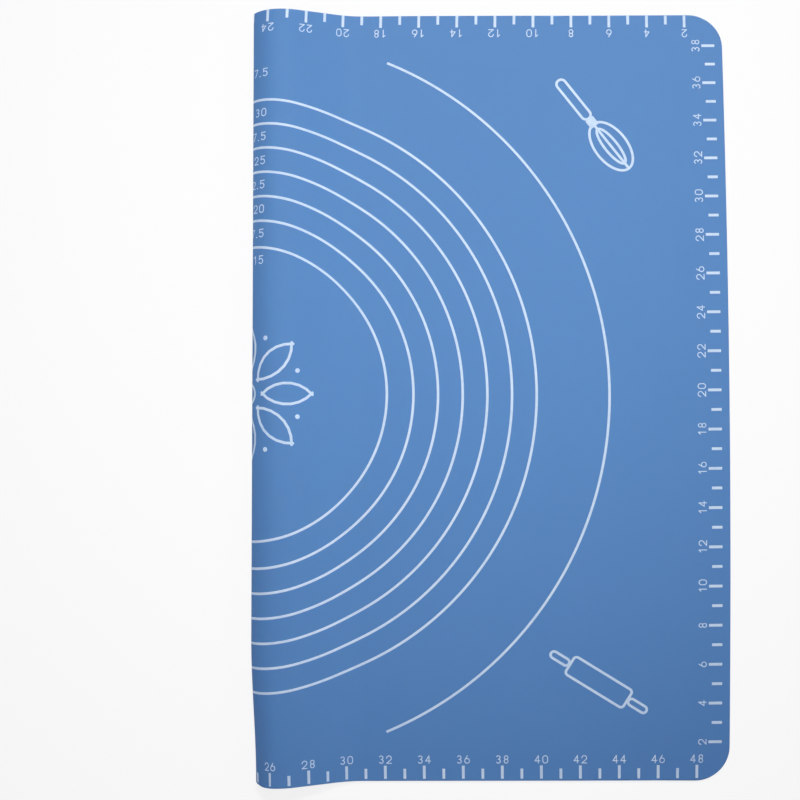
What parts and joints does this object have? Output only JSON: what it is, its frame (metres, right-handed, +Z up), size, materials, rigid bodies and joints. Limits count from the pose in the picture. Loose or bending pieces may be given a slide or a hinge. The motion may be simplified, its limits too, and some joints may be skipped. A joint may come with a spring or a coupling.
{
  "type": "silicone baking mat",
  "caption": "Thin printed silicone sheet with round corners, centimetre scales and sizing rings, folded in half round a springy bend, and opening out at the fold.",
  "frame": {"origin": "middle of the folded mat's outline, on the surface it lies on", "axes": "+X from the bend to the free edges, +Y along the bend, +Z up through the stack"},
  "size_m": [0.2454, 0.3964, 0.014],
  "materials": {
    "silicone": "satin blue silicone rubber",
    "ink": "matt white silicone ink"
  },
  "bodies": {
    "right_half": {"crest_band_1": "silicone", "crest_band_1_print": "ink", "crest_band_2": "silicone", "crest_band_2_print": "ink", "crest_band_3": "silicone", "crest_band_3_print": "ink", "landing_band_1": "silicone", "landing_band_1_print": "ink", "landing_band_2": "silicone", "landing_band_2_print": "ink", "right_half": "silicone", "right_half_lower_scale": "ink", "right_half_ornaments": "ink", "right_half_right_scale": "ink", "right_half_ring_148": "ink", "right_half_ring_175": "ink", "right_half_ring_200": "ink", "right_half_ring_225": "ink", "right_half_ring_250": "ink", "right_half_ring_275": "ink", "right_half_ring_300": "ink", "right_half_ring_374": "ink", "right_half_upper_scale": "ink", "shoulder_band_1": "silicone", "shoulder_band_1_print": "ink", "shoulder_band_2": "silicone", "shoulder_band_2_print": "ink", "slope_band": "silicone", "slope_band_print": "ink"},
    "bend": {"foot_band_1": "silicone", "foot_band_1_print": "ink", "foot_band_2": "silicone", "foot_band_2_print": "ink", "nose_band_1": "silicone", "nose_band_1_print": "ink", "nose_band_2": "silicone", "nose_band_2_print": "ink", "nose_band_3": "silicone", "nose_band_3_print": "ink", "nose_band_4": "silicone", "nose_band_4_print": "ink"},
    "left_half": {"left_half": "silicone", "left_half_left_scale": "ink", "left_half_lower_scale": "ink", "left_half_ornaments": "ink", "left_half_ring_148": "ink", "left_half_ring_175": "ink", "left_half_ring_200": "ink", "left_half_ring_225": "ink", "left_half_ring_250": "ink", "left_half_ring_275": "ink", "left_half_ring_300": "ink", "left_half_ring_374": "ink", "left_half_rosette": "ink", "left_half_upper_scale": "ink"}
  },
  "joints": [
    {"name": "right_half_to_bend", "type": "hinge", "parent": "right_half", "child": "bend", "pos_m": [-0.12093, 0, 0.00862], "axis": [0, 1, 0], "range_deg": [0, 90]},
    {"name": "bend_to_left_half", "type": "hinge", "parent": "bend", "child": "left_half", "pos_m": [-0.11623, 0, 0.0004], "axis": [0, 1, 0], "range_deg": [0, 90]}
  ]
}
